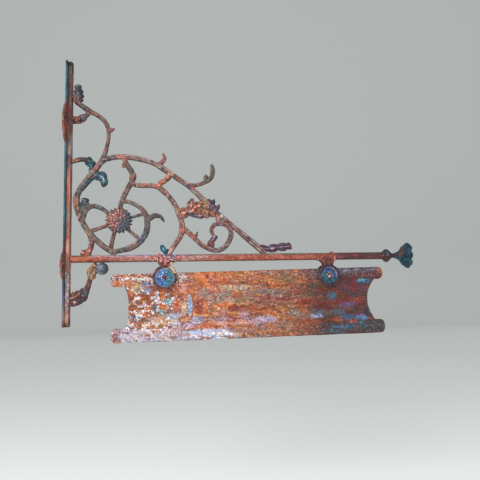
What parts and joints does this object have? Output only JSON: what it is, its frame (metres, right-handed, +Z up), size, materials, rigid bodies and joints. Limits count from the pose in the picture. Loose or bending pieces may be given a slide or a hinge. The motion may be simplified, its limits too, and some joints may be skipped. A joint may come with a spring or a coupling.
{
  "type": "projecting sign",
  "caption": "Projecting iron trade sign: wall bracket with a scrollwork panel and a blank scroll-shaped board that swings under its round arm.",
  "frame": {"origin": "on the back face of the wall plate, at the height of the arm's axis", "axes": "+X out from the wall along the arm, +Z up, +Y across the panel"},
  "size_m": [0.937, 0.076, 0.7556],
  "materials": {
    "wall_iron": "old teal-grey paint, rusted at the edges",
    "bar_iron": "brown rusted iron with a rough sparkle",
    "arm_iron": "rusted iron, red brown",
    "flower_paint": "dark teal paint, brown inside",
    "scroll_iron": "rusted iron with orange patches",
    "leaf_paint": "dark teal paint over rust",
    "leaf_iron": "rusted iron with ochre patches",
    "wheel_iron": "rusted iron with blue-grey paint left",
    "rosette_iron": "rusted iron petals",
    "brace_iron": "maroon rusted iron",
    "calyx_ochre": "ochre paint",
    "ball_paint": "grey-blue paint",
    "hanger_iron": "maroon rusted iron",
    "roundel_paint": "teal paint with a worn rim",
    "board_paint": "bare rusted sheet with flaking pale paint",
    "roll_paint": "rusted, flaking pale paint"
  },
  "bodies": {
    "bracket": {"wall_plate": "wall_iron", "spine_bar": "bar_iron", "spine_rivets": "bar_iron", "arm_bar": "arm_iron", "finial_knop": "arm_iron", "finial_flower": "flower_paint", "top_leaf": "leaf_paint", "upper_scroll": "scroll_iron", "upper_scroll_spur": "scroll_iron", "top_lug": "bar_iron", "lug_tie_leaf": "leaf_iron", "main_scroll": "scroll_iron", "arch_branch": "scroll_iron", "arch_leaf": "leaf_paint", "inner_leaf": "leaf_paint", "rafter": "scroll_iron", "rafter_spur": "scroll_iron", "rafter_foot_leaf": "leaf_iron", "upper_tendril": "scroll_iron", "tendril_leaf": "leaf_iron", "drop_strut": "scroll_iron", "drop_leaf": "leaf_paint", "wheel_stay": "scroll_iron", "inner_arc": "scroll_iron", "arc_foot_leaf": "leaf_paint", "cross_strut": "scroll_iron", "cross_leaf": "leaf_iron", "rafter_top_leaf": "leaf_paint", "volute_scroll": "scroll_iron", "volute_spur": "scroll_iron", "volute_leaf": "leaf_iron", "wheel_ring": "wheel_iron", "ring_tendril": "wheel_iron", "hub_disc": "wheel_iron", "rosette_front": "rosette_iron", "rosette_back": "rosette_iron", "hub_rivet": "rosette_iron", "spoke_left": "wheel_iron", "spoke_left_leaf": "leaf_paint", "spoke_right": "wheel_iron", "spoke_low_right": "wheel_iron", "spoke_down": "wheel_iron", "spoke_low_left": "wheel_iron", "foot_strut": "scroll_iron", "foot_leaf": "leaf_iron", "brace_scroll": "brace_iron", "brace_leaf": "leaf_iron", "brace_calyx": "calyx_ochre", "brace_ball": "ball_paint"},
    "sign": {"hanger_left": "hanger_iron", "hanger_right": "hanger_iron", "roundel_front_left": "roundel_paint", "roundel_front_right": "roundel_paint", "roundel_back_left": "roundel_paint", "roundel_back_right": "roundel_paint", "hanger_bolts": "hanger_iron", "hanger_nuts": "hanger_iron", "sign_board": "board_paint", "top_roll": "roll_paint", "bottom_roll": "roll_paint"}
  },
  "joints": [
    {"name": "sign_swing", "type": "hinge", "parent": "bracket", "child": "sign", "pos_m": [0, 0, 0], "axis": [1, 0, 0], "range_deg": [-45, 45]}
  ]
}
